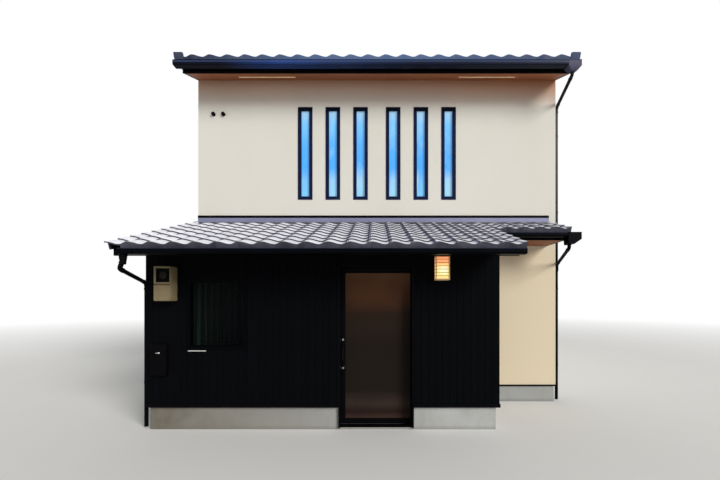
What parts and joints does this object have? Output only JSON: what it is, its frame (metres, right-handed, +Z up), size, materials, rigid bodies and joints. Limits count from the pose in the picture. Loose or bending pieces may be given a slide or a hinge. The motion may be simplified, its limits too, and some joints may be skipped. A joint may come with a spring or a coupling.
{
  "type": "machiya townhouse",
  "caption": "Two-storey plaster townhouse with tiled gable roof, tall slit windows and a black boarded front room under a tiled lean-to roof, with a sliding entrance door.",
  "frame": {"origin": "on the ground under the middle of the whole house's box", "axes": "+Z up, +Y from the street front to the back, +X along the street to the right"},
  "size_m": [6.26, 9.892, 7.2478],
  "materials": {
    "concrete": "matt",
    "plaster": "matt",
    "boards": "satin",
    "roof_tile": "satin",
    "trim": "satin",
    "flashing": "satin",
    "brown_timber": "satin",
    "floor_timber": "satin",
    "roof_timber": "matt",
    "vent": "satin",
    "clear_glass": "gloss",
    "window_pane": "gloss",
    "brown_glass": "satin",
    "rail": "satin",
    "curtain": "matt",
    "handle": "satin",
    "lamp_shade": "matt",
    "meter": "satin",
    "letter": "satin",
    "box": "satin"
  },
  "bodies": {
    "house": {"ground_slab": "concrete", "side_foundations": "concrete", "cross_foundations": "concrete", "drip_flashings": "trim", "front_wall_left": "boards", "front_wall_right": "boards", "front_wall_head": "boards", "front_side_walls": "boards", "gable_walls": "plaster", "lower_front_wall": "plaster", "upper_front_wall": "plaster", "back_wall": "plaster", "upper_floor": "floor_timber", "front_roof_deck": "roof_timber", "side_roof_deck": "roof_timber", "lower_roof_tiles": "roof_tile", "front_soffit": "trim", "side_soffit": "brown_timber", "wall_flashing": "flashing", "roof_deck_front": "roof_timber", "roof_deck_back": "roof_timber", "upper_roof_tiles": "roof_tile", "ridge": "roof_tile", "soffit_vents": "vent", "fascias": "trim", "barge_boards": "trim", "upper_gutters": "trim", "lower_gutters": "trim", "downpipes": "trim", "window_frames": "trim", "slit_window_glass": "clear_glass", "window_glass": "window_pane", "curtain_rail": "rail", "curtain": "curtain", "door_frame": "trim", "door_rail": "trim", "lamp_frame": "trim", "lamp_shade": "lamp_shade", "meter_box": "meter", "letter_slot": "letter", "utility_box": "box", "cable_caps": "trim"},
    "door": {"door_leaf": "trim", "door_glass": "brown_glass", "door_handle": "handle"}
  },
  "joints": [
    {"name": "door_slide", "type": "slide", "parent": "house", "child": "door", "axis": [1, 0, 0], "range_m": [0, 0.85]}
  ]
}
